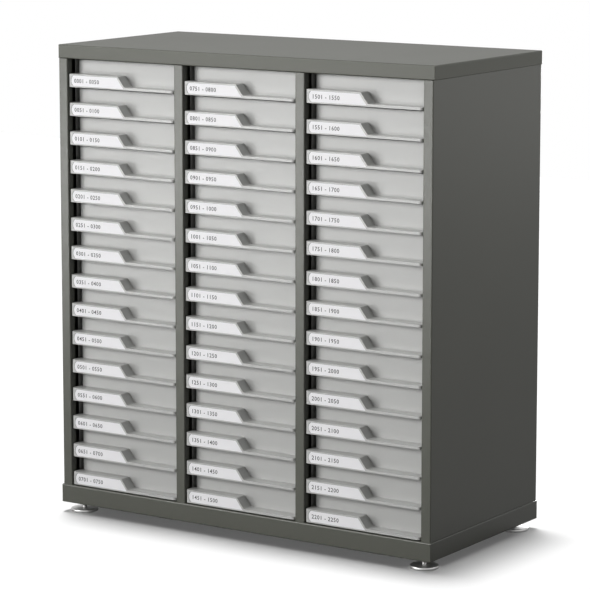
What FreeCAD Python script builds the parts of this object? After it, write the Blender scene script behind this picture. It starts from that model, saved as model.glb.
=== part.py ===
import FreeCAD, Part
import math
import os

# A steel drawer cabinet on four levelling feet, with three columns of fifteen moulded drawers
# for papers and folders up to 240 by 320 mm.
# Sizes are in millimetres. The origin is on the floor, under the middle of the outer box.
# X runs to the right, Y to the back and Z up. The drawers open towards -Y.

# Arrangement
columns = 3
rows = 15
drawer_pitch = 57.2
opening_width = 258.7
body_depth = 404.0

# Uprights: two side panels and the partitions between them, each one folded sheet
sheet = 1.0
sheet_bend = 1.6
fold_gap = 0.2
upright_face = 21.0
nose_depth = 16.5
side_back_flange = 19.0
partition_back_flange = 9.5
end_flange = 9.0
end_flange_front = 24.0

# Top and base: pans folded down on four sides and turned in underneath
pan_sheet = 1.2
pan_bend = 2.4
top_height = 27.5
top_side_overhang = 2.0
top_front_setback = 1.5
top_back_setback = 1.5
top_return = 26.0
base_height = 37.0
base_side_overhang = 2.0
base_front_overhang = 3.0
base_return = 52.0

# Back sheet, held in front of the back flanges of the side panels
back_sheet = 1.0
back_end_gap = 0.4
back_side_gap = 1.5

# Levelling feet, each a disc on a stem that runs in a nut welded inside the base
foot_clearance = 20.0
foot_inset = 32.0
foot_radius = 27.5
foot_rim_height = 6.0
foot_stem_radius = 5.0
foot_stem_above_base = 24.0
foot_bore_clearance = 0.1
weld_nut_across_flats = 17.0
weld_nut_height = 8.0

# Runner racks: a moulded channel on each wall of a column, with a ledge for every drawer
rack_wall = 1.8
rack_front = 27.0
rack_back_gap = 3.0
rack_end_gap = 2.0
ledge_front = 46.0
ledge_reach = 6.3
ledge_thickness = 1.6

# Drawer front: a recessed panel, a lip along its foot and a hollow handle that holds the label
lip_setback = 0.3
lip_end_gap = 2.0
lip_bottom_gap = 2.0
lip_height = 5.2
lip_corner = 6.0
panel_setback = 27.0
panel_thickness = 2.5
panel_top_gap = 4.6
panel_corner = 2.0
handle_height = 25.5
handle_length = 137.5
handle_slant = 15.7
handle_wall = 2.2
label_margin = 2.2
label_left_margin = 6.6
label_bulge = 5.0
label_corner = 6.0
label_slant_margin = 3.0
label_recess = 0.6

# Drawer tray
tray_side_gap = 7.2
tray_wall = 2.0
tray_floor = 2.0
tray_side_height = 50.0
tray_back_gap = 17.0
runner_height = 38.0
runner_thickness = 2.4
runner_side_clearance = 1.2
runner_ledge_clearance = 0.4
runner_hold_clearance = 0.8
stop_lug_length = 8.0
stop_lug_height = 2.6
stop_clearance = 0.3
drawer_travel = 250.0

# Places that follow from the sizes above
column_pitch = opening_width + upright_face
body_width = columns * column_pitch + upright_face
body_left = -body_width / 2
overall_depth = base_front_overhang + body_depth
body_front = base_front_overhang - overall_depth / 2
body_back = body_front + body_depth
back_outer = body_back - sheet
back_inner = back_outer - back_sheet
base_top = foot_clearance + base_height
top_bottom = base_top + rows * drawer_pitch
lip_front = body_front + lip_setback
handle_slope = handle_slant / (handle_height - lip_height)
panel_front = body_front + panel_setback
rack_back = back_inner - sheet - rack_back_gap
tray_back = body_back - tray_back_gap
hold_down_back = tray_back - stop_lug_length - drawer_travel - stop_clearance


def block(x0, x1, y0, y1, z0, z1):
    return Part.makeBox(x1 - x0, y1 - y0, z1 - z0, FreeCAD.Vector(x0, y0, z0))


def post(x, y, radius, z0, z1):
    return Part.makeCylinder(radius, z1 - z0, FreeCAD.Vector(x, y, z0))


def outline_between(points, start, reach):
    """The closed outline through the points, pulled from start by reach."""
    corners = [start + point for point in points]
    return Part.Face(Part.makePolygon(corners + corners[:1])).extrude(reach)


def front_outline(points, y0, y1):
    """An outline seen from the front, given as (x, z), pulled back from y0 to y1."""
    corners = [FreeCAD.Vector(x, 0, z) for x, z in points]
    return outline_between(corners, FreeCAD.Vector(0, y0, 0), FreeCAD.Vector(0, y1 - y0, 0))


def plan_outline(points, z0, z1):
    """An outline seen from above, given as (x, y), pulled up from z0 to z1."""
    corners = [FreeCAD.Vector(x, y, 0) for x, y in points]
    return outline_between(corners, FreeCAD.Vector(0, 0, z0), FreeCAD.Vector(0, 0, z1 - z0))


def side_outline(points, x0, x1):
    """An outline seen from the side, given as (y, z), pulled across from x0 to x1."""
    corners = [FreeCAD.Vector(0, y, z) for y, z in points]
    return outline_between(corners, FreeCAD.Vector(x0, 0, 0), FreeCAD.Vector(x1 - x0, 0, 0))


def edges_at(shape, place):
    """The edges of a shape that have their middle at a place."""
    return [edge for edge in shape.Edges if edge.CenterOfMass.isEqual(place, 0.01)]


def hexagon(x, y, across_flats, z0, z1):
    """A hexagonal post, such as a nut without its thread."""
    reach = across_flats / math.sqrt(3)
    turns = [math.radians(60 * i) for i in range(6)]
    return plan_outline([(x + reach * math.cos(a), y + reach * math.sin(a)) for a in turns], z0, z1)


def left_of(run):
    across = FreeCAD.Vector(-run.y, run.x, 0)
    return across.normalize()


def folded_face(path, bend, shift):
    """One face of a square-folded sheet: its middle line moved left by shift, with the folds round."""
    here = path[0] + left_of(path[1] - path[0]) * shift
    edges = []
    for before, corner, after in zip(path, path[1:], path[2:]):
        into = left_of(corner - before)
        out = left_of(after - corner)
        turn = 1 if into.cross(out).z > 0 else -1
        centre = corner + (into + out) * turn * bend
        radius = bend - turn * shift
        start = centre - into * turn * radius
        middle = centre - (into + out).normalize() * turn * radius
        end = centre - out * turn * radius
        edges.append(Part.LineSegment(here, start).toShape())
        edges.append(Part.Arc(start, middle, end).toShape())
        here = end
    last = path[-1] + left_of(path[-1] - path[-2]) * shift
    edges.append(Part.LineSegment(here, last).toShape())
    return edges


def folded_sheet(path, thickness, bend, z0, z1):
    """A sheet folded square along a path in plan, standing from z0 to z1."""
    middle = [FreeCAD.Vector(x, y, z0) for x, y in path]
    left = folded_face(middle, bend, thickness / 2)
    right = folded_face(middle, bend, -thickness / 2)
    ends = [
        Part.LineSegment(left[0].Vertexes[0].Point, right[0].Vertexes[0].Point).toShape(),
        Part.LineSegment(left[-1].Vertexes[-1].Point, right[-1].Vertexes[-1].Point).toShape(),
    ]
    outline = Part.Wire(Part.sortEdges(left + right + ends)[0])
    return Part.Face(outline).extrude(FreeCAD.Vector(0, 0, z1 - z0))


def rounded_block(x0, x1, y0, y1, z0, z1, radius):
    """A block with its level edges rounded and its upright ones left as mitres."""
    plain = block(x0, x1, y0, y1, z0, z1)
    level = [edge for edge in plain.Edges if edge.Vertexes[0].Z == edge.Vertexes[1].Z]
    return plain.makeFillet(radius, level)


def folded_pan(x0, x1, y0, y1, z0, z1, turned_in):
    """A sheet pan that opens downwards, with its four edges turned in underneath."""
    t = pan_sheet
    w = turned_in
    outer = rounded_block(x0, x1, y0, y1, z0, z1, pan_bend)
    inner = rounded_block(x0 + t, x1 - t, y0 + t, y1 - t, z0 + t, z1 - t, pan_bend - t)
    window = block(x0 + w, x1 - w, y0 + w, y1 - w, z0 - t, z0 + 2 * t)
    return outer.cut(inner).cut(window)


def row_floor(row):
    """Height of the bottom of a drawer's space. Row 1 is the top one."""
    return base_top + (rows - row) * drawer_pitch


def opening_left(column):
    """Left side of a column's opening. Column 1 is the left one."""
    return body_left + upright_face + (column - 1) * column_pitch


def foot_places():
    across = body_width / 2 + base_side_overhang - foot_inset
    front = body_front - base_front_overhang + foot_inset
    back = body_back - foot_inset
    return {
        "front_left": (-across, front),
        "front_right": (across, front),
        "back_left": (-across, back),
        "back_right": (across, back),
    }


def top_panel():
    return folded_pan(
        body_left - top_side_overhang,
        -body_left + top_side_overhang,
        body_front + top_front_setback,
        body_back - top_back_setback,
        top_bottom,
        top_bottom + top_height,
        top_return,
    )


def base_pan():
    pan = folded_pan(
        body_left - base_side_overhang,
        -body_left + base_side_overhang,
        body_front - base_front_overhang,
        body_back,
        foot_clearance,
        base_top,
        base_return,
    )
    nut_foot = foot_clearance + pan_sheet
    nut_top = nut_foot + weld_nut_height
    for x, y in foot_places().values():
        nut = hexagon(x, y, weld_nut_across_flats, nut_foot, nut_top)
        bore = post(x, y, foot_stem_radius + foot_bore_clearance, foot_clearance, nut_top)
        pan = pan.fuse(nut).cut(bore)
    return pan


def end_flange_at(x0, x1, z0):
    """A flange at the end of an upright, which lies on the base or under the top."""
    return block(x0, x1, body_front + end_flange_front, rack_back, z0, z0 + sheet)


def side_panel():
    """The left side panel: outer skin, front nose and back flange folded from one sheet."""
    skin = body_left + sheet / 2
    nose = body_left + upright_face - sheet / 2
    nose_front = body_front + sheet / 2
    nose_back = body_front + nose_depth - sheet / 2
    flange = body_back - sheet / 2
    path = [
        (body_left + side_back_flange, flange),
        (skin, flange),
        (skin, nose_front),
        (nose, nose_front),
        (nose, nose_back),
        (body_left + sheet + fold_gap, nose_back),
    ]
    panel = folded_sheet(path, sheet, sheet_bend, base_top, top_bottom)
    inner = body_left + sheet
    for foot in (base_top, top_bottom - sheet):
        panel = panel.fuse(end_flange_at(skin, inner + end_flange, foot))
    return panel.removeSplitter()


def partition(number):
    """A partition: a closed nose, a single web behind it and a flange against the back sheet."""
    middle = opening_left(number + 1) - upright_face / 2
    nose = upright_face / 2 - sheet / 2
    nose_front = body_front + sheet / 2
    nose_back = body_front + nose_depth - sheet / 2
    flange = back_inner - sheet / 2
    path = [
        (middle - sheet / 2 - fold_gap, nose_back),
        (middle - nose, nose_back),
        (middle - nose, nose_front),
        (middle + nose, nose_front),
        (middle + nose, nose_back),
        (middle, nose_back),
        (middle, flange),
        (middle + partition_back_flange, flange),
    ]
    panel = folded_sheet(path, sheet, sheet_bend, base_top, top_bottom)
    for foot in (base_top, top_bottom - sheet):
        panel = panel.fuse(end_flange_at(middle, middle + end_flange, foot))
    return panel.removeSplitter()


def back_panel():
    across = body_width / 2 - sheet - back_side_gap
    foot = base_top + back_end_gap
    return block(-across, across, back_inner, back_outer, foot, top_bottom - back_end_gap)


def rack(face, support, inward):
    """A channel from the face to its support, with a ledge and a hold-down for each drawer."""
    front = body_front + rack_front
    back = face - inward * rack_wall
    profile = [
        (support, front),
        (face, front),
        (face, rack_back),
        (support, rack_back),
        (support, rack_back - rack_wall),
        (back, rack_back - rack_wall),
        (back, front + rack_wall),
        (support, front + rack_wall),
    ]
    channel = plan_outline(profile, base_top + rack_end_gap, top_bottom - rack_end_gap)
    across = sorted((face, face + inward * ledge_reach))
    start = body_front + ledge_front
    ledges = []
    for row in range(1, rows + 1):
        runner = row_floor(row) + lip_bottom_gap + runner_height
        ledge_top = runner - runner_ledge_clearance
        hold_down = runner + runner_thickness + runner_hold_clearance
        ledges.append(block(*across, start, rack_back, ledge_top - ledge_thickness, ledge_top))
        ledges.append(block(*across, start, hold_down_back, hold_down, hold_down + ledge_thickness))
    return channel.fuse(ledges).removeSplitter()


def column_racks(column):
    left = opening_left(column)
    right = left + opening_width
    left_support = body_left + sheet if column == 1 else left - upright_face / 2 + sheet / 2
    right_support = -body_left - sheet if column == columns else right + upright_face / 2 - sheet / 2
    return Part.makeCompound([rack(left, left_support, 1), rack(right, right_support, -1)])


def label_outline(left, foot):
    """The recess for a label: its left corners cut off, its right end cut to the handle's slant."""
    low = foot + label_margin
    high = foot + handle_height - label_margin
    slant_top = left + handle_length - handle_slant - label_slant_margin
    label_left = left + label_left_margin
    outline = [
        (label_left + label_bulge, low),
        (slant_top + handle_slope * (high - low), low),
        (slant_top, high),
        (label_left + label_bulge, high),
        (label_left, high - label_corner),
        (label_left, low + label_corner),
    ]
    return front_outline(outline, lip_front, lip_front + label_recess)


def front_lip(left, right, foot):
    """The lip with the handle over its left part, and the hollow that leaves a thin wall of both."""
    back = panel_front + panel_thickness
    lip_top = foot + lip_height
    handle_top = foot + handle_height
    slant_bottom = left + handle_length
    slant_top = slant_bottom - handle_slant
    outline = [
        (left, foot),
        (right, foot),
        (right, lip_top),
        (slant_bottom, lip_top),
        (slant_top, handle_top),
        (left, handle_top),
    ]
    lip = front_outline(outline, lip_front, back)
    left_end = FreeCAD.Vector(left, lip_front, foot + handle_height / 2)
    right_end = FreeCAD.Vector(right, lip_front, foot + lip_height / 2)
    lip = lip.makeChamfer(lip_corner, edges_at(lip, left_end) + edges_at(lip, right_end))

    slant_shift = handle_wall * (math.hypot(1, handle_slope) - handle_slope)
    outline = [
        (left + lip_corner, foot),
        (right - lip_corner, foot),
        (right - lip_corner, lip_top - handle_wall),
        (slant_bottom - slant_shift, lip_top - handle_wall),
        (slant_top - slant_shift, handle_top - handle_wall),
        (left + lip_corner, handle_top - handle_wall),
    ]
    hollow = front_outline(outline, lip_front + handle_wall, panel_front)
    return lip, hollow


def drawer(column, row):
    """One moulding: tray, side runners, front panel, lip and handle."""
    opening = opening_left(column)
    foot = row_floor(row) + lip_bottom_gap
    lip_left = opening + lip_end_gap
    lip, hollow = front_lip(lip_left, opening + opening_width - lip_end_gap, foot)

    left = opening + tray_side_gap
    right = opening + opening_width - tray_side_gap
    panel_top = row_floor(row) + drawer_pitch + lip_bottom_gap - panel_top_gap
    panel_back = panel_front + panel_thickness
    front_edge = [
        (left, panel_front + panel_corner),
        (left + panel_corner, panel_front),
        (right - panel_corner, panel_front),
        (right, panel_front + panel_corner),
    ]
    panel = plan_outline(front_edge + [(right, panel_back), (left, panel_back)], foot, panel_top)
    side_top = foot + tray_side_height
    tray = plan_outline(front_edge + [(right, tray_back), (left, tray_back)], foot, side_top)
    inside_back = tray_back - tray_wall
    inside_foot = foot + tray_floor
    inside = block(left + tray_wall, right - tray_wall, panel_back, inside_back, inside_foot, panel_top)

    runner = foot + runner_height
    runner_front = body_front + ledge_front
    runner_top = runner + runner_thickness
    lug_top = runner_top + stop_lug_height
    lug_front = tray_back - stop_lug_length
    runner_side = [
        (runner_front, runner),
        (tray_back, runner),
        (tray_back, lug_top),
        (lug_front, lug_top),
        (lug_front, runner_top),
        (runner_front, runner_top),
    ]
    outer_left = opening + runner_side_clearance
    outer_right = opening + opening_width - runner_side_clearance
    left_runner = side_outline(runner_side, outer_left, left + tray_wall / 2)
    right_runner = side_outline(runner_side, right - tray_wall / 2, outer_right)

    moulding = tray.fuse([panel, lip, left_runner, right_runner])
    moulding = moulding.cut([inside, hollow, label_outline(lip_left, foot)])
    return moulding.removeSplitter()


def foot(x, y):
    """A levelling foot: a disc turned in one with its stem."""
    profile = [
        (0, 0),
        (foot_radius, 0),
        (foot_radius, foot_rim_height),
        (foot_stem_radius, foot_rim_height),
        (foot_stem_radius, foot_clearance + foot_stem_above_base),
        (0, foot_clearance + foot_stem_above_base),
    ]
    corners = [FreeCAD.Vector(x + r, y, z) for r, z in profile]
    half = Part.Face(Part.makePolygon(corners + corners[:1]))
    return half.revolve(FreeCAD.Vector(x, y, 0), FreeCAD.Vector(0, 0, 1), 360)


def write(name, shape):
    shape.exportStep(os.path.join("parts", name + ".step"))
    print(name, len(shape.Solids), "solid", round(shape.Volume / 1000, 1), "cm3")


os.makedirs("parts", exist_ok=True)
write("top_panel", top_panel())
write("base_pan", base_pan())
left_side = side_panel()
write("left_side", left_side)
write("right_side", left_side.mirror(FreeCAD.Vector(0, 0, 0), FreeCAD.Vector(1, 0, 0)))
for number in range(1, columns):
    write(f"partition_{number}", partition(number))
write("back_panel", back_panel())
for column in range(1, columns + 1):
    write(f"runner_racks_{column}", column_racks(column))
for name, (x, y) in foot_places().items():
    write(f"foot_{name}", foot(x, y))
for column in range(1, columns + 1):
    for row in range(1, rows + 1):
        write(f"drawer_{column}_{row:02d}", drawer(column, row))
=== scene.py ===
import math

import bmesh
import bpy
from mathutils import Matrix, Vector


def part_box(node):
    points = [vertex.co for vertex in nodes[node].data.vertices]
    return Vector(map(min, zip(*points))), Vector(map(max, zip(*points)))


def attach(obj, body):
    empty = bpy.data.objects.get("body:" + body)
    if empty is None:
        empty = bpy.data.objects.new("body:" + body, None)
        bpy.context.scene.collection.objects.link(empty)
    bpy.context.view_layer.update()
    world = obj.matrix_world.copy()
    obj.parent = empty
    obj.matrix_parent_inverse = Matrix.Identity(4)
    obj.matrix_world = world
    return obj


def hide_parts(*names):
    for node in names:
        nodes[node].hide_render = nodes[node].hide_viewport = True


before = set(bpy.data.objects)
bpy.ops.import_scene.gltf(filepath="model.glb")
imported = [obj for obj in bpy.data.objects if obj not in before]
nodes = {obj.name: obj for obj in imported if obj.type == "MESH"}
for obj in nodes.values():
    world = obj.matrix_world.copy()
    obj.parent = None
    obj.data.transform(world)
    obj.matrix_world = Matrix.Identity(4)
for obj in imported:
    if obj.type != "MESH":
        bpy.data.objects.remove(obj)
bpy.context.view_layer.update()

# A steel cabinet with three columns of moulded drawers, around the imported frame. Sizes are in metres.
mm = 0.001
closeEnough = 0.01 * mm  # two places count as one within this
clear = 1 * mm  # how far a cutting tool runs past what it cuts
drawerNames = sorted(name for name in nodes if name.startswith("drawer_"))
footNames = sorted(name for name in nodes if name.startswith("foot_"))
rackNames = sorted(name for name in nodes if name.startswith("runner_racks_"))
print("frame loaded:", len(nodes), "nodes")


# Materials

def addNode(tree, kind, values=None, **settings):
    node = tree.nodes.new(kind)
    for name, value in settings.items():
        setattr(node, name, value)
    for socket, value in (values or {}).items():
        if isinstance(value, bpy.types.NodeSocket):
            tree.links.new(value, node.inputs[socket])
        else:
            node.inputs[socket].default_value = value
    return node


def addMath(tree, operation, first, second):
    return addNode(tree, "ShaderNodeMath", {0: first, 1: second}, operation=operation).outputs[0]


def grainGroup():
    # Fine grain and broad mottling on object coordinates, for paint and mouldings alike
    group = bpy.data.node_groups.new("grain", "ShaderNodeTree")
    inputs = [
        ("Color", "NodeSocketColor", (0.5, 0.5, 0.5, 1)),
        ("Roughness", "NodeSocketFloat", 0.5),
        ("Grain Size", "NodeSocketFloat", 1.0 * mm),
        ("Speckle", "NodeSocketFloat", 0.05),
        ("Mottle Size", "NodeSocketFloat", 150 * mm),
        ("Mottle", "NodeSocketFloat", 0.05),
        ("Roughness Spread", "NodeSocketFloat", 0.06),
    ]
    for name, kind, value in inputs:
        group.interface.new_socket(name, in_out="INPUT", socket_type=kind).default_value = value
    group.interface.new_socket("Color", in_out="OUTPUT", socket_type="NodeSocketColor")
    group.interface.new_socket("Roughness", in_out="OUTPUT", socket_type="NodeSocketFloat")
    group.interface.new_socket("Height", in_out="OUTPUT", socket_type="NodeSocketFloat")
    given = group.nodes.new("NodeGroupInput").outputs
    place = addNode(group, "ShaderNodeTexCoord").outputs["Object"]
    fineScale = addMath(group, "DIVIDE", 1.0, given["Grain Size"])
    broadScale = addMath(group, "DIVIDE", 1.0, given["Mottle Size"])
    fine = addNode(group, "ShaderNodeTexNoise", {"Vector": place, "Scale": fineScale, "Detail": 2.0})
    broad = addNode(group, "ShaderNodeTexNoise", {"Vector": place, "Scale": broadScale, "Detail": 4.0})
    fineOff = addMath(group, "SUBTRACT", fine.outputs["Fac"], 0.5)
    broadOff = addMath(group, "SUBTRACT", broad.outputs["Fac"], 0.5)
    tone = addMath(group, "MULTIPLY", fineOff, given["Speckle"])
    drift = addMath(group, "MULTIPLY", broadOff, given["Mottle"])
    factor = addMath(group, "ADD", addMath(group, "ADD", tone, drift), 1.0)
    shaded = addNode(
        group, "ShaderNodeVectorMath", {0: given["Color"], "Scale": factor}, operation="SCALE"
    )
    wander = addMath(group, "MULTIPLY", broadOff, given["Roughness Spread"])
    rough = addMath(group, "ADD", given["Roughness"], wander)
    result = group.nodes.new("NodeGroupOutput").inputs
    group.links.new(shaded.outputs[0], result["Color"])
    group.links.new(rough, result["Roughness"])
    group.links.new(fine.outputs["Fac"], result["Height"])
    return group


grain = grainGroup()


def grainedMaterial(name, look):
    material = bpy.data.materials.new(name)
    material.use_nodes = True
    tree = material.node_tree
    shader = tree.nodes["Principled BSDF"]
    shader.inputs["Metallic"].default_value = look.get("metallic", 0.0)
    surface = addNode(tree, "ShaderNodeGroup", node_tree=grain)
    surface.inputs["Color"].default_value = (*look["color"], 1)
    surface.inputs["Roughness"].default_value = look["roughness"]
    surface.inputs["Grain Size"].default_value = look["grainSize"]
    surface.inputs["Speckle"].default_value = look["speckle"]
    surface.inputs["Mottle Size"].default_value = look["mottleSize"]
    surface.inputs["Mottle"].default_value = look["mottle"]
    surface.inputs["Roughness Spread"].default_value = look["roughnessSpread"]
    relief = {"Height": surface.outputs["Height"], "Distance": look["relief"]}
    bump = addNode(tree, "ShaderNodeBump", relief)
    tree.links.new(surface.outputs["Color"], shader.inputs["Base Color"])
    tree.links.new(surface.outputs["Roughness"], shader.inputs["Roughness"])
    tree.links.new(bump.outputs["Normal"], shader.inputs["Normal"])
    return material


paintLook = {
    "color": (0.083, 0.0855, 0.069), "roughness": 0.3, "roughnessSpread": 0.04,
    "grainSize": 1.3 * mm, "speckle": 0.16, "relief": 0.05 * mm,
    "mottleSize": 220 * mm, "mottle": 0.08,
}
topLook = {**paintLook, "roughness": 0.52}
rackLook = {
    "color": (0.5, 0.5, 0.485), "roughness": 0.55, "roughnessSpread": 0.1,
    "grainSize": 0.8 * mm, "speckle": 0.1, "relief": 0.03 * mm,
    "mottleSize": 60 * mm, "mottle": 0.1,
}
drawerLook = {
    "color": (0.5, 0.502, 0.49), "roughness": 0.34, "roughnessSpread": 0.05,
    "grainSize": 0.7 * mm, "speckle": 0.04, "relief": 0.02 * mm,
    "mottleSize": 90 * mm, "mottle": 0.035,
}
cardLook = {
    "color": (0.89, 0.885, 0.9), "roughness": 0.7, "roughnessSpread": 0.1,
    "grainSize": 0.5 * mm, "speckle": 0.03, "relief": 0.01 * mm,
    "mottleSize": 12 * mm, "mottle": 0.02,
}
# Dark grey sheet round the label card: partly the window's dark edge, partly painted shadow of the recess's
# left wall
linerShadeLook = {
    "color": (0.16, 0.16, 0.16), "roughness": 0.5, "roughnessSpread": 0.05,
    "grainSize": 0.6 * mm, "speckle": 0.05, "relief": 0.01 * mm,
    "mottleSize": 20 * mm, "mottle": 0.04,
}
inkLook = {
    "color": (0.045, 0.045, 0.045), "roughness": 0.6, "roughnessSpread": 0.05,
    "grainSize": 0.4 * mm, "speckle": 0.15, "relief": 0.005 * mm,
    "mottleSize": 8 * mm, "mottle": 0.1,
}
footLook = {
    "color": (0.62, 0.62, 0.61), "metallic": 1.0, "roughness": 0.42, "roughnessSpread": 0.15,
    "grainSize": 0.9 * mm, "speckle": 0.06, "relief": 0.01 * mm,
    "mottleSize": 9 * mm, "mottle": 0.08,
}
paint = grainedMaterial("powder_coat", paintLook)
topPaint = grainedMaterial("powder_coat_top", topLook)
rackPlastic = grainedMaterial("rack_moulding", rackLook)
drawerPlastic = grainedMaterial("drawer_moulding", drawerLook)
cardPaper = grainedMaterial("card_paper", cardLook)
linerShadeGrey = grainedMaterial("label_liner_and_painted_shade", linerShadeLook)
ink = grainedMaterial("card_ink", inkLook)
footMetal = grainedMaterial("plated_foot", footLook)
print("materials made")


# Modelling helpers

def cornerFace(bm, points, plane, level):
    # A flat face through (a, b) points in the plane xy, xz or yz
    if plane == "xy":
        places = [(a, b, level) for a, b in points]
    elif plane == "xz":
        places = [(a, level, b) for a, b in points]
    else:
        places = [(level, a, b) for a, b in points]
    return bm.faces.new([bm.verts.new(place) for place in places])


def roundCorner(bm, vert, offset, segments=5):
    bmesh.ops.bevel(
        bm, geom=[vert], offset=offset, segments=segments, profile=0.5, affect="VERTICES", material=-1
    )


def pull(bm, reach):
    # Extrudes every face there is by one vector, into a closed solid
    raised = bmesh.ops.extrude_face_region(bm, geom=bm.faces[:])["geom"]
    moved = [part for part in raised if isinstance(part, bmesh.types.BMVert)]
    bmesh.ops.translate(bm, verts=moved, vec=reach)
    bmesh.ops.recalc_face_normals(bm, faces=bm.faces[:])


def bevelEdges(bm, wanted, offset, segments=3):
    edges = [edge for edge in bm.edges if wanted(edge.verts[0].co, edge.verts[1].co)]
    bmesh.ops.bevel(
        bm, geom=edges, offset=offset, segments=segments, profile=0.5, affect="EDGES", material=-1,
        clamp_overlap=True,
    )


def near(first, second):
    return abs(first - second) < closeEnough


def newObject(name, bm):
    mesh = bpy.data.meshes.new(name)
    bm.to_mesh(mesh)
    bm.free()
    made = bpy.data.objects.new(name, mesh)
    bpy.context.scene.collection.objects.link(made)
    return made


def applyModifiers(piece):
    depsgraph = bpy.context.evaluated_depsgraph_get()
    finished = bpy.data.meshes.new_from_object(piece.evaluated_get(depsgraph))
    piece.modifiers.clear()
    old = piece.data
    piece.data = finished
    bpy.data.meshes.remove(old)


def combine(piece, tool, operation):
    modifier = piece.modifiers.new("combine", "BOOLEAN")
    modifier.operation = operation
    modifier.solver = "EXACT"
    modifier.object = tool
    applyModifiers(piece)
    bpy.data.objects.remove(tool)


def smoothShade(piece, angle=32):
    piece.data.polygons.foreach_set("use_smooth", [True] * len(piece.data.polygons))
    piece.data.set_sharp_from_angle(angle=math.radians(angle))
    modifier = piece.modifiers.new("even_normals", "WEIGHTED_NORMAL")
    modifier.keep_sharp = True


def finishPiece(piece, material, body, replaced=None):
    piece.data.materials.clear()
    piece.data.materials.append(material)
    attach(piece, body)
    if replaced:
        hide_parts(replaced)


# Sheet-steel pieces: a merged copy of each packed sheet, its upright mitres eased by the radius given

steelParts = {
    "top_panel": 1.2 * mm, "base_pan": 1.2 * mm, "left_side": 0, "right_side": 0,
    "partition_1": 0, "partition_2": 0, "back_panel": 0,
}


def mergedCopy(name):
    bm = bmesh.new()
    bm.from_mesh(nodes[name].data)
    bmesh.ops.remove_doubles(bm, verts=bm.verts[:], dist=closeEnough / 10)
    bmesh.ops.dissolve_limit(bm, angle_limit=math.radians(1), verts=bm.verts[:], edges=bm.edges[:])
    return bm


def makeSteel(name, mitreRadius):
    bm = mergedCopy(name)
    low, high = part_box(name)

    def onMitre(first, second):
        inLine = near(first.x, second.x) and near(first.y, second.y)
        upright = inLine and abs(first.z - second.z) > 10 * mm
        outerX = near(first.x, low.x) or near(first.x, high.x)
        outerY = near(first.y, low.y) or near(first.y, high.y)
        return upright and outerX and outerY

    if mitreRadius:
        bevelEdges(bm, onMitre, mitreRadius)
    piece = newObject(name + "_steel", bm)
    smoothShade(piece)
    finishPiece(piece, topPaint if name == "top_panel" else paint, "cabinet", name)


for partName, mitreRadius in steelParts.items():
    makeSteel(partName, mitreRadius)
print("steel done")


# Runner racks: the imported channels, open at their front end, so that a dark gap shows behind each upright

rack = {"wall": 1.8 * mm, "frontCut": 1.9 * mm}


def makeRack(name):
    piece = newObject(name + "_moulding", mergedCopy(name))
    low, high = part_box(name)
    middle = (low.x + high.x) / 2
    front = [vert.co.x for vert in piece.data.vertices if near(vert.co.y, low.y)]
    leftWall = max(x for x in front if x < middle) - rack["wall"]
    rightWall = min(x for x in front if x > middle) + rack["wall"]
    under, over = low.z - clear, high.z + clear
    for start, stop in ((low.x - clear, leftWall), (rightWall, high.x + clear)):
        bm = bmesh.new()
        corners = [(start, under), (stop, under), (stop, over), (start, over)]
        cornerFace(bm, corners, "xz", low.y - clear)
        pull(bm, (0, clear + rack["frontCut"], 0))
        combine(piece, newObject("front_end", bm), "DIFFERENCE")
    smoothShade(piece)
    finishPiece(piece, rackPlastic, "cabinet", name)


for rackName in rackNames:
    makeRack(rackName)
print("racks done")


# Rivets of the back sheet, along the two partitions

rivets = {
    "headRadius": 3.2 * mm, "headHeight": 0.9 * mm, "count": 6, "margin": 45 * mm, "offset": 5 * mm,
}


def makeRivets():
    bm = bmesh.new()
    low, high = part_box("back_panel")
    for partitionName in ("partition_1", "partition_2"):
        flangeLow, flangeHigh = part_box(partitionName)
        x = (flangeLow.x + flangeHigh.x) / 2 + rivets["offset"]
        gap = (high.z - low.z - 2 * rivets["margin"]) / (rivets["count"] - 1)
        for number in range(rivets["count"]):
            head = bmesh.ops.create_uvsphere(
                bm, u_segments=20, v_segments=10, radius=rivets["headRadius"]
            )["verts"]
            flatten = rivets["headHeight"] / rivets["headRadius"]
            bmesh.ops.scale(bm, verts=head, vec=(1, flatten, 1))
            bmesh.ops.translate(bm, verts=head, vec=(x, high.y, low.z + rivets["margin"] + number * gap))
    piece = newObject("back_rivets", bm)
    smoothShade(piece)
    finishPiece(piece, paint, "cabinet")


makeRivets()
print("rivets done")


# Drawers: one moulding in its own place, then a copy for every packed drawer

firstLow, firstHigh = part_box(drawerNames[0])
moulding = {
    "width": firstHigh.x - firstLow.x,
    "depth": firstHigh.y - firstLow.y,
    "height": firstHigh.z - firstLow.z,
    "runnerReach": 6.0 * mm,
    "lipEnd": 0.8 * mm,
    "lipHeight": 5.2 * mm,
    "lipCorner": 6.0 * mm,
    "handleHeight": 25.5 * mm,
    "handleLength": 137.5 * mm,
    "slant": 15.7 * mm,
    "slantFootCorner": 2.0 * mm,
    "slantTopCorner": 1.6 * mm,
    "wall": 2.2 * mm,
    "hollowCorner": 1.5 * mm,
    "panelFront": 26.7 * mm,
    "panelThickness": 2.5 * mm,
    "panelCorner": 3.6 * mm,
    "trayHeight": 50.0 * mm,
    "trayWall": 2.0 * mm,
    "backCorner": 3.0 * mm,
    "insideCorner": 2.0 * mm,
    "floorCorner": 1.5 * mm,
    "trayEdge": 0.6 * mm,
    "runnerFront": 45.7 * mm,
    "runnerHeight": 38.0 * mm,
    "runnerThickness": 2.4 * mm,
    "runnerEdge": 0.4 * mm,
    "lugLength": 8.0 * mm,
    "lugHeight": 2.6 * mm,
    "edge": 0.9 * mm,
    "lipEdge": 3.4 * mm,
}
moulding["slope"] = moulding["slant"] / (moulding["handleHeight"] - moulding["lipHeight"])
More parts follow.
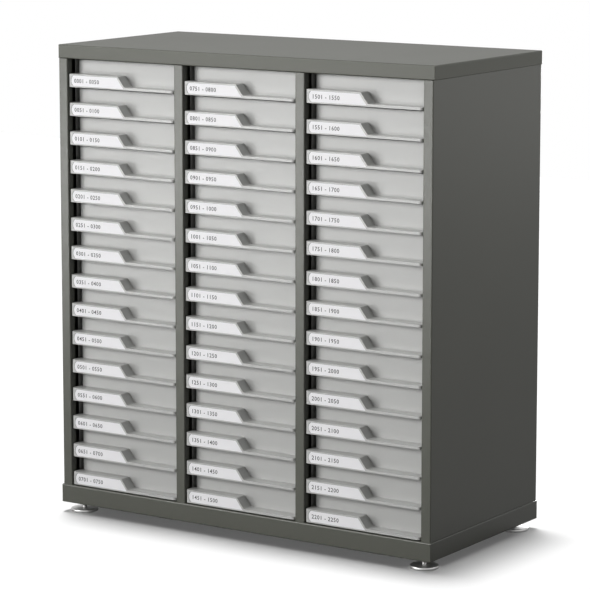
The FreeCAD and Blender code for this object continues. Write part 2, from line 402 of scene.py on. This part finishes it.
label = {
    "margin": 2.2 * mm, "leftMargin": 6.6 * mm, "endRadius": 12.4 * mm, "slantMargin": 3.0 * mm,
    "endSteps": 12, "recess": 0.6 * mm,
    "linerShadeThickness": 0.15 * mm, "linerShadeInset": 0.05 * mm, "linerShadeGap": 0.02 * mm,
    "cardThickness": 0.4 * mm, "cardGap": 0.03 * mm,
    # The card is set in furthest at the left, where the grey liner shows a wider band of painted shadow
    # from the recess's left wall
    "linerShadeBand": {"left": 1.0 * mm, "top": 0.3 * mm, "right": 0.3 * mm, "bottom": 0.15 * mm},
    "textSize": 11.2 * mm, "textLeft": 8.0 * mm, "textLift": 0.05 * mm, "textDrop": 0.35,
    "textBoldness": 0.14 * mm, "textSpacing": 1.12, "sheetsPerDrawer": 50,
}
cardBack = label["recess"] - label["linerShadeThickness"] - label["cardGap"]
cardFront = cardBack - label["cardThickness"]


def labelOutline(left=0, top=0, right=0, bottom=0):
    # Round at the left, slanted at the right like the handle, with each side moved in by its inset
    slope = moulding["slope"]
    low = label["margin"] + bottom
    high = moulding["handleHeight"] - label["margin"] - top
    left += moulding["lipEnd"] + label["leftMargin"]
    topRight = moulding["lipEnd"] + moulding["handleLength"] - moulding["slant"]
    topRight += slope * top - label["slantMargin"] - right
    middle, half = (low + high) / 2, (high - low) / 2
    radius = label["endRadius"]
    turn = math.asin(half / radius)
    steps = label["endSteps"]
    points = [(topRight + slope * (high - low), low), (topRight, high)]
    for step in range(steps + 1):
        angle = turn - 2 * turn * step / steps
        points.append((left + radius - radius * math.cos(angle), middle + radius * math.sin(angle)))
    return points


def makeLip():
    shape = moulding
    left = shape["lipEnd"]
    right = shape["width"] - left
    slantFoot = left + shape["handleLength"]
    slantTop = slantFoot - shape["slant"]
    lipTop, handleTop = shape["lipHeight"], shape["handleHeight"]
    back = shape["panelFront"] + shape["panelThickness"] / 2
    bm = bmesh.new()
    outline = [
        (left, 0), (right, 0), (right, lipTop), (slantFoot, lipTop), (slantTop, handleTop),
        (left, handleTop),
    ]
    corners = list(cornerFace(bm, outline, "xz", 0).verts)
    roundCorner(bm, corners[3], shape["slantFootCorner"])
    roundCorner(bm, corners[4], shape["slantTopCorner"])
    pull(bm, (0, back, 0))
    reach = shape["lipCorner"]

    def onCorner(first, second):
        upright = near(first.x, second.x) and near(first.y, 0) and near(second.y, 0)
        return upright and (near(first.x, left) or near(first.x, right))

    bevelEdges(bm, onCorner, reach, 6)

    def onFront(first, second):
        inFront = near(first.y, 0) and near(second.y, 0)
        level = near(first.z, second.z) and max(first.y, second.y) < reach + closeEnough
        nearLeft = max(first.x, second.x) < left + reach + closeEnough
        nearRight = min(first.x, second.x) > right - reach - closeEnough
        inLine = near(first.x, second.x) and near(first.y, second.y)
        upright = inLine and not near(first.z, second.z)
        return (inFront or (level and (nearLeft or nearRight))) and not upright

    # The lip's top edge is rounded more than the other front edges
    weights = bm.edges.layers.float.new("bevel_weight_edge")
    for edge in bm.edges:
        first, second = edge.verts[0].co, edge.verts[1].co
        if onFront(first, second):
            onLipTop = near(first.z, lipTop) and near(second.z, lipTop)
            edge[weights] = 1.0 if onLipTop else shape["edge"] / shape["lipEdge"]
    lip = newObject("lip", bm)
    modifier = lip.modifiers.new("front_edges", "BEVEL")
    modifier.limit_method = "WEIGHT"
    modifier.width = shape["lipEdge"]
    modifier.segments = 4
    applyModifiers(lip)
    return lip


def makeHollow():
    # The finger pocket behind the handle's front wall and the shallow space in the lip, open below
    shape = moulding
    wall = shape["wall"]
    shift = wall * (math.hypot(1, shape["slope"]) - shape["slope"])
    left = shape["lipEnd"] + shape["lipCorner"]
    right = shape["width"] - left
    slantFoot = shape["lipEnd"] + shape["handleLength"] - shift
    lipTop, top = shape["lipHeight"] - wall, shape["handleHeight"] - wall
    under = -2 * clear
    bm = bmesh.new()
    outline = [
        (left, under), (right, under), (right, lipTop), (slantFoot, lipTop),
        (slantFoot - shape["slant"], top), (left, top),
    ]
    corners = list(cornerFace(bm, outline, "xz", wall).verts)
    for corner in corners[4:]:
        roundCorner(bm, corner, shape["hollowCorner"], 3)
    pull(bm, (0, shape["panelFront"] - wall, 0))
    return newObject("hollow", bm)


def makeRecess():
    bm = bmesh.new()
    cornerFace(bm, labelOutline(), "xz", -clear)
    pull(bm, (0, clear + label["recess"], 0))
    return newObject("recess", bm)


def makeTray():
    shape = moulding
    left = shape["runnerReach"]
    right = shape["width"] - left
    front, back = shape["panelFront"], shape["depth"]
    bm = bmesh.new()
    outline = [(left, front), (right, front), (right, back), (left, back)]
    corners = list(cornerFace(bm, outline, "xy", 0).verts)
    radii = (shape["panelCorner"],) * 2 + (shape["backCorner"],) * 2
    for corner, radius in zip(corners, radii):
        roundCorner(bm, corner, radius, 6)
    pull(bm, (0, 0, shape["height"]))
    bevelEdges(bm, lambda first, second: near(first.z, second.z), shape["trayEdge"], 2)
    tray = newObject("tray", bm)

    wall = shape["trayWall"]
    bm = bmesh.new()
    innerLeft, innerRight = left + wall, right - wall
    innerFront, innerBack = front + shape["panelThickness"], back - wall
    outline = [
        (innerLeft, innerFront), (innerRight, innerFront), (innerRight, innerBack), (innerLeft, innerBack),
    ]
    for corner in list(cornerFace(bm, outline, "xy", wall).verts):
        roundCorner(bm, corner, shape["insideCorner"], 4)
    pull(bm, (0, 0, shape["height"]))
    bevelEdges(
        bm, lambda first, second: near(first.z, wall) and near(second.z, wall), shape["floorCorner"]
    )
    combine(tray, newObject("inside", bm), "DIFFERENCE")

    # The walls behind the front panel are lower than the panel
    bm = bmesh.new()
    block = bmesh.ops.create_cube(bm, size=1)["verts"]
    middle = (shape["width"] / 2, innerFront + 0.1 * clear + back / 2, shape["trayHeight"] + 10 * clear)
    bmesh.ops.scale(bm, verts=block, vec=(shape["width"] + 10 * clear, back, 20 * clear))
    bmesh.ops.translate(bm, verts=block, vec=middle)
    combine(tray, newObject("rim", bm), "DIFFERENCE")
    return tray


def makeRunner(start, stop):
    shape = moulding
    bottom, back = shape["runnerHeight"], shape["depth"]
    top = bottom + shape["runnerThickness"]
    lugTop, lugFront = top + shape["lugHeight"], back - shape["lugLength"]
    front = shape["runnerFront"]

    def alongTop(first, second):
        return near(first.z, second.z) and not near(first.y, second.y)

    bm = bmesh.new()
    outline = [
        (front, bottom), (back, bottom), (back, lugTop), (lugFront, lugTop), (lugFront, top), (front, top),
    ]
    cornerFace(bm, outline, "yz", start)
    pull(bm, (stop - start, 0, 0))
    bevelEdges(bm, alongTop, shape["runnerEdge"], 2)
    return newObject("runner", bm)


def makeDrawer():
    shape = moulding
    runnerWidth = shape["runnerReach"] + shape["trayWall"] / 2
    piece = makeTray()
    combine(piece, makeLip(), "UNION")
    combine(piece, makeRunner(0, runnerWidth), "UNION")
    combine(piece, makeRunner(shape["width"] - runnerWidth, shape["width"]), "UNION")
    combine(piece, makeHollow(), "DIFFERENCE")
    combine(piece, makeRecess(), "DIFFERENCE")
    smoothShade(piece)
    applyModifiers(piece)
    return piece


def makeLabel():
    # A grey liner that shows as a thin line round the white card: partly the dark edge of the label window,
    # partly painted shadow of the recess's left wall, so the card is set in most at the left
    linerShade = bmesh.new()
    gap = label["linerShadeInset"]
    cornerFace(linerShade, labelOutline(gap, gap, gap, gap), "xz", label["recess"] - label["linerShadeGap"])
    pull(linerShade, (0, -label["linerShadeThickness"], 0))
    card = bmesh.new()
    cornerFace(card, labelOutline(**label["linerShadeBand"]), "xz", cardBack)
    pull(card, (0, -label["cardThickness"], 0))
    return newObject("linerShade", linerShade), newObject("card", card)


def makeNumbers(words, place):
    curve = bpy.data.curves.new("numbers", "FONT")
    curve.body = words
    curve.size = label["textSize"]
    curve.resolution_u = 2
    curve.offset = label["textBoldness"]
    curve.space_character = label["textSpacing"]
    text = bpy.data.objects.new("numbers", curve)
    bpy.context.scene.collection.objects.link(text)
    depsgraph = bpy.context.evaluated_depsgraph_get()
    mesh = bpy.data.meshes.new_from_object(text.evaluated_get(depsgraph))
    mesh.transform(Matrix.Translation(place) @ Matrix.Rotation(math.radians(90), 4, "X"))
    bpy.data.objects.remove(text)
    return mesh


def joinMeshes(name, parts):
    bm = bmesh.new()
    materials = [material for _, material in parts]
    for index, (mesh, _) in enumerate(parts):
        before = len(bm.faces)
        bm.from_mesh(mesh)
        bm.faces.ensure_lookup_table()
        for face in bm.faces[before:]:
            face.material_index = index
    piece = newObject(name, bm)
    for material in materials:
        piece.data.materials.append(material)
    return piece


template = makeDrawer()
linerShadeTemplate, cardTemplate = makeLabel()
textCorner = Vector((
    moulding["lipEnd"] + label["leftMargin"] + label["textLeft"], cardFront - label["textLift"],
    moulding["handleHeight"] / 2 - label["textSize"] * label["textDrop"],
))
print("drawer moulding has", len(template.data.polygons), "faces")
for number, drawerName in enumerate(drawerNames):
    place = Matrix.Translation(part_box(drawerName)[0])
    mesh = template.data.copy()
    mesh.transform(place)
    piece = bpy.data.objects.new(drawerName + "_moulding", mesh)
    bpy.context.scene.collection.objects.link(piece)
    finishPiece(piece, drawerPlastic, drawerName, drawerName)

    last = (number + 1) * label["sheetsPerDrawer"]
    first = last - label["sheetsPerDrawer"] + 1
    numbers = makeNumbers(f"{first:04d} - {last:04d}", textCorner)
    tag = joinMeshes(
        drawerName.replace("drawer", "label"),
        [(linerShadeTemplate.data, linerShadeGrey), (cardTemplate.data, cardPaper), (numbers, ink)],
    )
    tag.data.transform(place)
    bpy.data.meshes.remove(numbers)
    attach(tag, drawerName)
for spare in (template, linerShadeTemplate, cardTemplate):
    bpy.data.objects.remove(spare)
print("drawers and labels done")


# Levelling feet: a turned disc with a threaded stem

foot = {
    "radius": 27.5 * mm, "rim": 6.0 * mm, "crown": 7.2 * mm, "crownRadius": 9.0 * mm,
    "stemRadius": 5.0 * mm, "stemTop": 44.0 * mm, "sides": 64,
    "threadPitch": 1.5 * mm, "threadDepth": 0.6 * mm, "turns": 14, "stepsPerTurn": 24,
}


def makeFoot(name):
    low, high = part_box(name)
    centre = Vector(((low.x + high.x) / 2, (low.y + high.y) / 2, low.z))
    core = foot["stemRadius"] - foot["threadDepth"]
    radius, rim, crown, stemTop = foot["radius"], foot["rim"], foot["crown"], foot["stemTop"]
    profile = [
        (0, 0), (radius - 1.5 * mm, 0), (radius - 0.4 * mm, 0.5 * mm), (radius, 1.6 * mm),
        (radius, rim - 1.8 * mm), (radius - 0.5 * mm, rim - 0.6 * mm), (radius - 1.8 * mm, rim),
        (radius - 8 * mm, rim + 0.2 * mm), (foot["crownRadius"], crown), (core, crown), (core, stemTop),
        (0, stemTop),
    ]
    bm = bmesh.new()
    verts = [bm.verts.new((across, 0, height)) for across, height in profile]
    edges = [bm.edges.new(pair) for pair in zip(verts, verts[1:])]
    bmesh.ops.spin(
        bm, geom=verts + edges, cent=(0, 0, 0), axis=(0, 0, 1), angle=2 * math.pi, steps=foot["sides"],
        use_merge=True,
    )
    bmesh.ops.remove_doubles(bm, verts=bm.verts[:], dist=closeEnough / 10)

    # The thread is a ridge wound up the stem, its root sunk a little into the core
    pitch, start = foot["threadPitch"], crown + 1 * mm
    root = core - 0.1 * mm
    crest = foot["stemRadius"]
    section = [(root, 0), (crest, 0.42 * pitch), (crest, 0.52 * pitch), (root, 0.94 * pitch)]
    ridge = [bm.verts.new((across, 0, start + height)) for across, height in section]
    bm.faces.new(ridge)
    steps = foot["stepsPerTurn"]
    ring = [edge for edge in bm.edges if edge.verts[0] in ridge and edge.verts[1] in ridge]
    end = bmesh.ops.spin(
        bm, geom=ridge + ring, cent=(0, 0, 0), axis=(0, 0, 1), dvec=(0, 0, pitch / steps),
        angle=2 * math.pi * foot["turns"], steps=steps * foot["turns"],
    )["geom_last"]
    bm.faces.new([part for part in end if isinstance(part, bmesh.types.BMVert)])
    bmesh.ops.recalc_face_normals(bm, faces=bm.faces[:])
    bmesh.ops.translate(bm, verts=bm.verts[:], vec=centre)
    piece = newObject(name + "_metal", bm)
    smoothShade(piece, 40)
    finishPiece(piece, footMetal, name, name)


for footName in footNames:
    makeFoot(footName)
print("feet done")


# Floor, light and camera

floorLook = {"size": 10, "color": 0.12, "seenByCamera": 0.9, "seenInGloss": 0.37}
worldLook = {"light": 0.03, "seen": 1.0}
frontLight = {
    "place": (-1.9, -3.9, 1.92), "target": (0.95, -0.2, 0.83), "width": 2.2, "height": 1.0, "spread": 90,
    "power": 31.5,
}
highSheenLight = {
    "place": (-3.8, -5.8, 0.85), "target": (0.0, -0.2, 0.6), "width": 2.2, "height": 0.8, "spread": 60,
    "power": 4.2,
}
lowSheenLight = {
    "place": (-2.4, -3.6, 0.16), "target": (0.0, -0.2, 0.6), "width": 2.4, "height": 0.25, "spread": 60,
    "power": 3.7,
}
overheadLight = {
    "place": (-0.4, -1.6, 3.4), "target": (0.0, -0.2, 0.5), "width": 1.6, "height": 1.2, "spread": 100,
    "power": 10.0,
}
fillLight = {
    "place": (2.6, -2.7, 1.75), "target": (0.0, -0.2, 0.95), "width": 0.8, "height": 0.8, "spread": 60,
    "power": 0.25,
}
sideLight = {
    "place": (4.0, 0.6, 1.9), "target": (0.43, 0, 1.0), "width": 1.0, "height": 1.0, "spread": 40,
    "power": 2.7,
}
backLight = {
    "place": (-1.0, 4.6, 0.65), "target": (0.0, 0.2, 0.5), "width": 1.4, "height": 0.4, "spread": 60,
    "power": 14.0,
}
floorSun = {"tilt": (-3, -4), "angle": 8, "strength": 2.32, "shadow": True}
floorSky = {"tilt": (-4.5, -4.5), "angle": 85, "strength": 1.1, "shadow": True}
floorFill = {"tilt": (0, 0), "angle": 2, "strength": 0.37, "shadow": False}
cameraLook = {
    "place": (3.077, -4.6249, 1.3989), "yaw": 33.672, "pitch": 8.473,
    "focalPixels": 2860.3, "framePixels": 590, "axisRow": 236,
}


def seenInGloss(tree):
    path = addNode(tree, "ShaderNodeLightPath").outputs
    return addMath(tree, "MAXIMUM", path["Is Glossy Ray"], path["Is Transmission Ray"])


def seenByCamera(tree):
    return addNode(tree, "ShaderNodeLightPath").outputs["Is Camera Ray"]


def mixValues(tree, factor, first, second):
    spread = addMath(tree, "SUBTRACT", second, first)
    return addMath(tree, "ADD", addMath(tree, "MULTIPLY", spread, factor), first)


def makeFloor():
    bm = bmesh.new()
    bmesh.ops.create_grid(bm, x_segments=1, y_segments=1, size=floorLook["size"] / 2)
    floor = newObject("floor", bm)
    material = bpy.data.materials.new("pale_floor")
    material.use_nodes = True
    tree = material.node_tree
    tree.nodes.remove(tree.nodes["Principled BSDF"])
    inGloss = mixValues(tree, seenInGloss(tree), floorLook["color"], floorLook["seenInGloss"])
    shade = mixValues(tree, seenByCamera(tree), inGloss, floorLook["seenByCamera"])
    color = addNode(tree, "ShaderNodeCombineColor", {"Red": shade, "Green": shade, "Blue": shade})
    diffuse = addNode(tree, "ShaderNodeBsdfDiffuse", {"Color": color.outputs["Color"]})
    tree.links.new(diffuse.outputs[0], tree.nodes["Material Output"].inputs["Surface"])
    floor.data.materials.append(material)
    return floor


def makeWorld():
    world = bpy.data.worlds.new("studio")
    world.use_nodes = True
    tree = world.node_tree
    background = tree.nodes["Background"]
    seen = addMath(tree, "MAXIMUM", seenByCamera(tree), seenInGloss(tree))
    strength = mixValues(tree, seen, worldLook["light"], worldLook["seen"])
    background.inputs["Color"].default_value = (1, 1, 1, 1)
    tree.links.new(strength, background.inputs["Strength"])
    bpy.context.scene.world = world


def makeSoftbox(name, look, floor):
    data = bpy.data.lights.new(name, "AREA")
    data.shape = "RECTANGLE"
    data.size = look["width"]
    data.size_y = look["height"]
    data.spread = math.radians(look["spread"])
    data.energy = look["power"]
    light = bpy.data.objects.new(name, data)
    place = Vector(look["place"])
    light.location = place
    light.rotation_mode = "QUATERNION"
    light.rotation_quaternion = (Vector(look["target"]) - place).to_track_quat("-Z", "Y")
    bpy.context.scene.collection.objects.link(light)
    linkLight(light, floor, "EXCLUDE")


def makeFloorSun(name, look, floor):
    # The floor has lights of its own, so that it is white, with a soft shadow, however the cabinet is lit
    data = bpy.data.lights.new(name, "SUN")
    data.angle = math.radians(look["angle"])
    data.energy = look["strength"]
    data.use_shadow = look["shadow"]
    light = bpy.data.objects.new(name, data)
    light.rotation_euler = [math.radians(value) for value in (*look["tilt"], 0)]
    bpy.context.scene.collection.objects.link(light)
    linkLight(light, floor, "INCLUDE")


def linkLight(light, floor, state):
    receivers = bpy.data.collections.new(light.name + "_receivers")
    receivers.objects.link(floor)
    receivers.collection_objects[0].light_linking.link_state = state
    light.light_linking.receiver_collection = receivers


def makeCamera():
    data = bpy.data.cameras.new("camera")
    yaw, pitch = math.radians(cameraLook["yaw"]), math.radians(cameraLook["pitch"])
    data.sensor_width = 36
    data.lens = data.sensor_width * cameraLook["focalPixels"] / cameraLook["framePixels"]
    data.shift_y = cameraLook["axisRow"] / cameraLook["framePixels"] - 0.5
    data.clip_end = 100
    camera = bpy.data.objects.new("camera", data)
    camera.location = cameraLook["place"]
    level = math.cos(pitch)
    forward = Vector((-math.sin(yaw) * level, math.cos(yaw) * level, -math.sin(pitch)))
    camera.rotation_mode = "QUATERNION"
    camera.rotation_quaternion = forward.to_track_quat("-Z", "Y")
    bpy.context.scene.collection.objects.link(camera)
    bpy.context.scene.camera = camera


floor = makeFloor()
makeWorld()
makeSoftbox("front_light", frontLight, floor)
makeSoftbox("high_sheen_light", highSheenLight, floor)
makeSoftbox("low_sheen_light", lowSheenLight, floor)
makeSoftbox("overhead_light", overheadLight, floor)
makeSoftbox("fill_light", fillLight, floor)
makeSoftbox("side_light", sideLight, floor)
makeSoftbox("back_light", backLight, floor)
makeFloorSun("floor_sun", floorSun, floor)
makeFloorSun("floor_sky", floorSky, floor)
makeFloorSun("floor_fill", floorFill, floor)
makeCamera()
bpy.context.scene.view_settings.view_transform = "Standard"
print("stage done")
